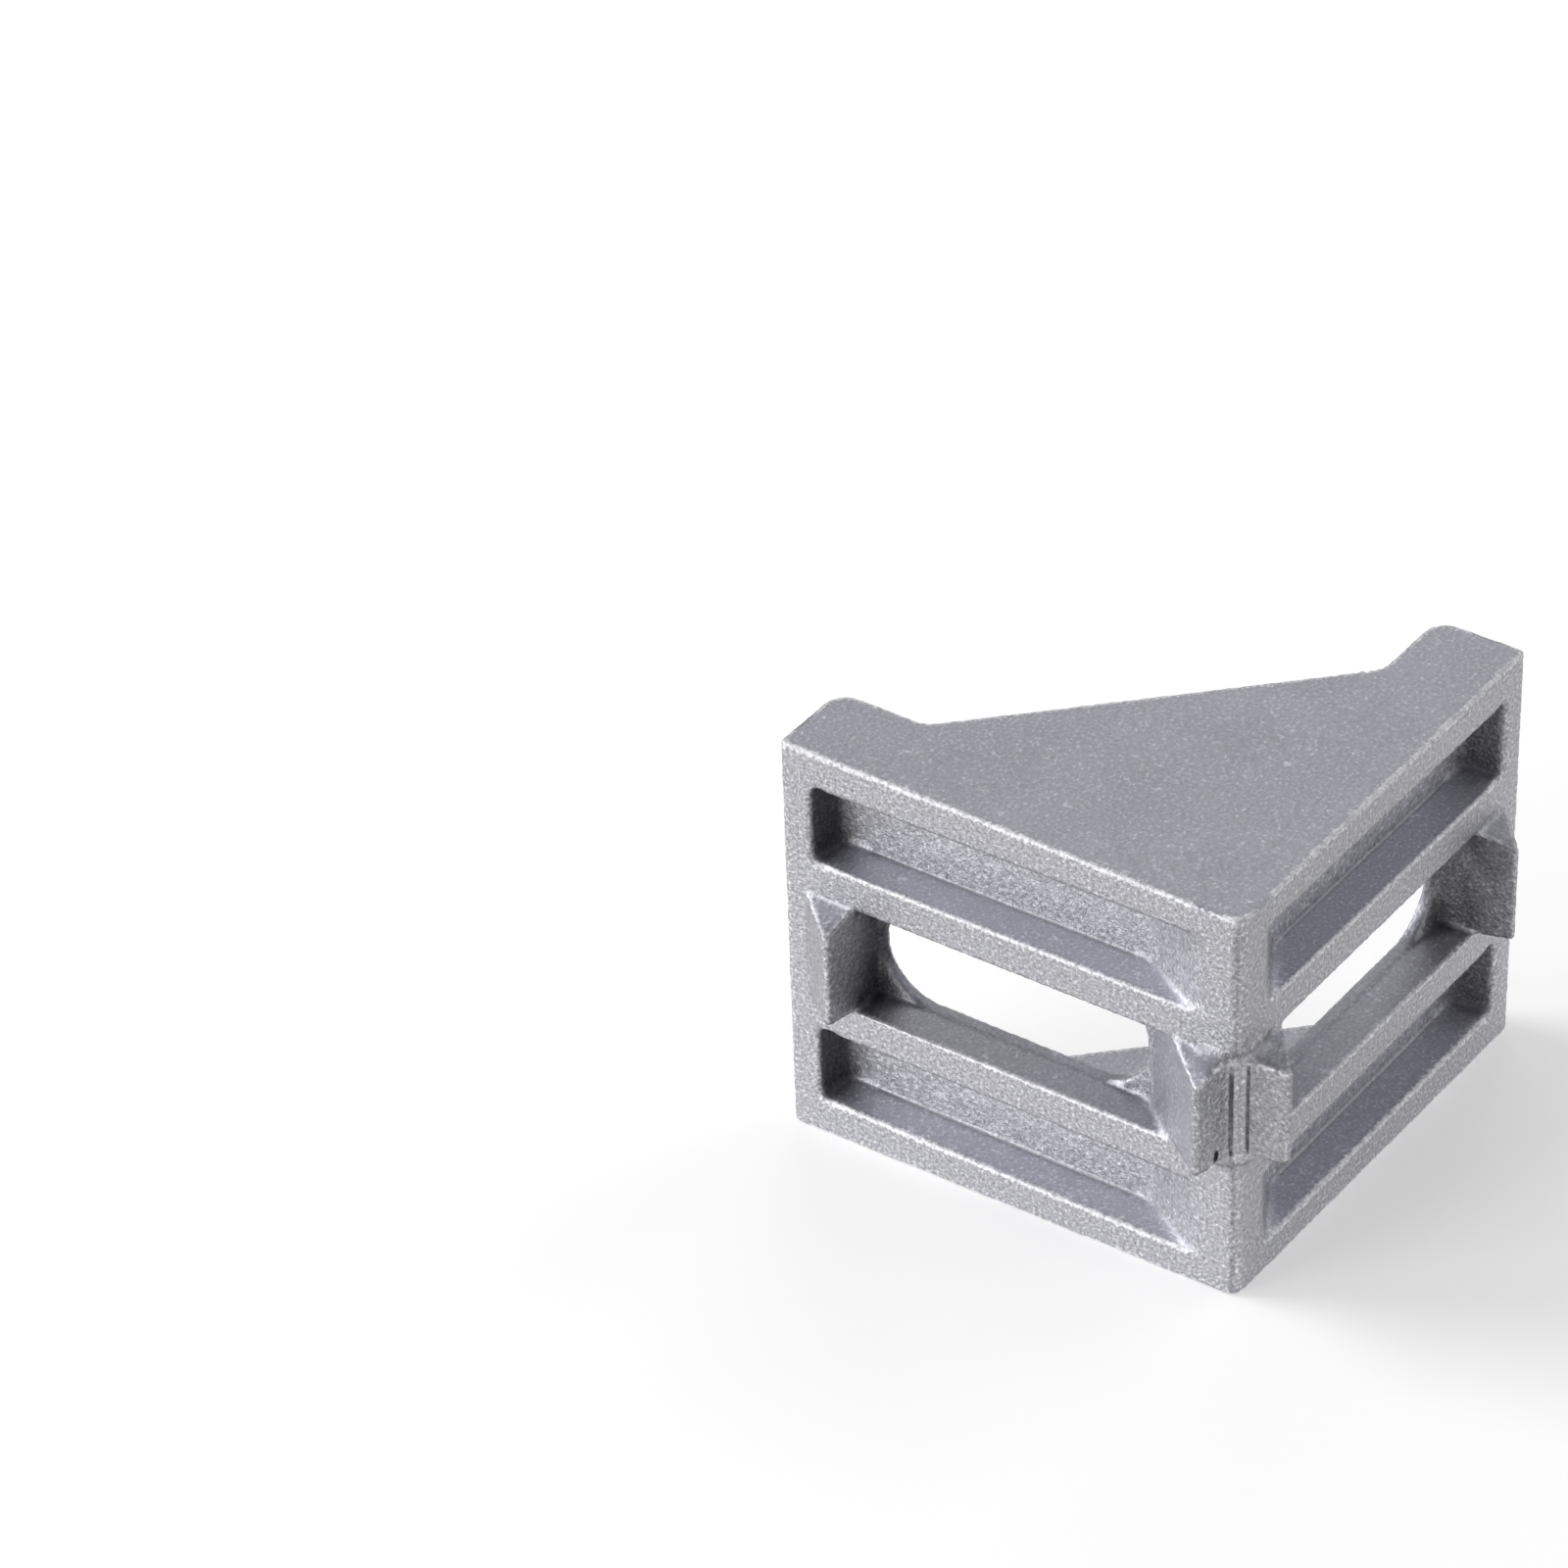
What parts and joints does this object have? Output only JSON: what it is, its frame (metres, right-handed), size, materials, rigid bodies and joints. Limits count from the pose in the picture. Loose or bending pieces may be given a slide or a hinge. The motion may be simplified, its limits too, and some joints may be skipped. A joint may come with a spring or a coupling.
{
  "type": "t slot corner bracket",
  "caption": "Cast right-angle corner bracket for slotted framing: slotted legs, side gussets, hollowed mounting faces and guide keys that sit in the profiles' slots.",
  "frame": {"origin": "the heel at mid-width: where the two mounting planes and the bracket's middle plane meet", "axes": "+X and +Y along the legs from the heel to the tips, so the mounting faces look along -Y and -X; +Z across the width, with the bracket lying on one gusset"},
  "size_m": [0.0433, 0.0433, 0.0356],
  "materials": {
    "cast_aluminium": "blasted, fine grain"
  },
  "bodies": {
    "root": {"bracket": "cast_aluminium"}
  },
  "joints": []
}
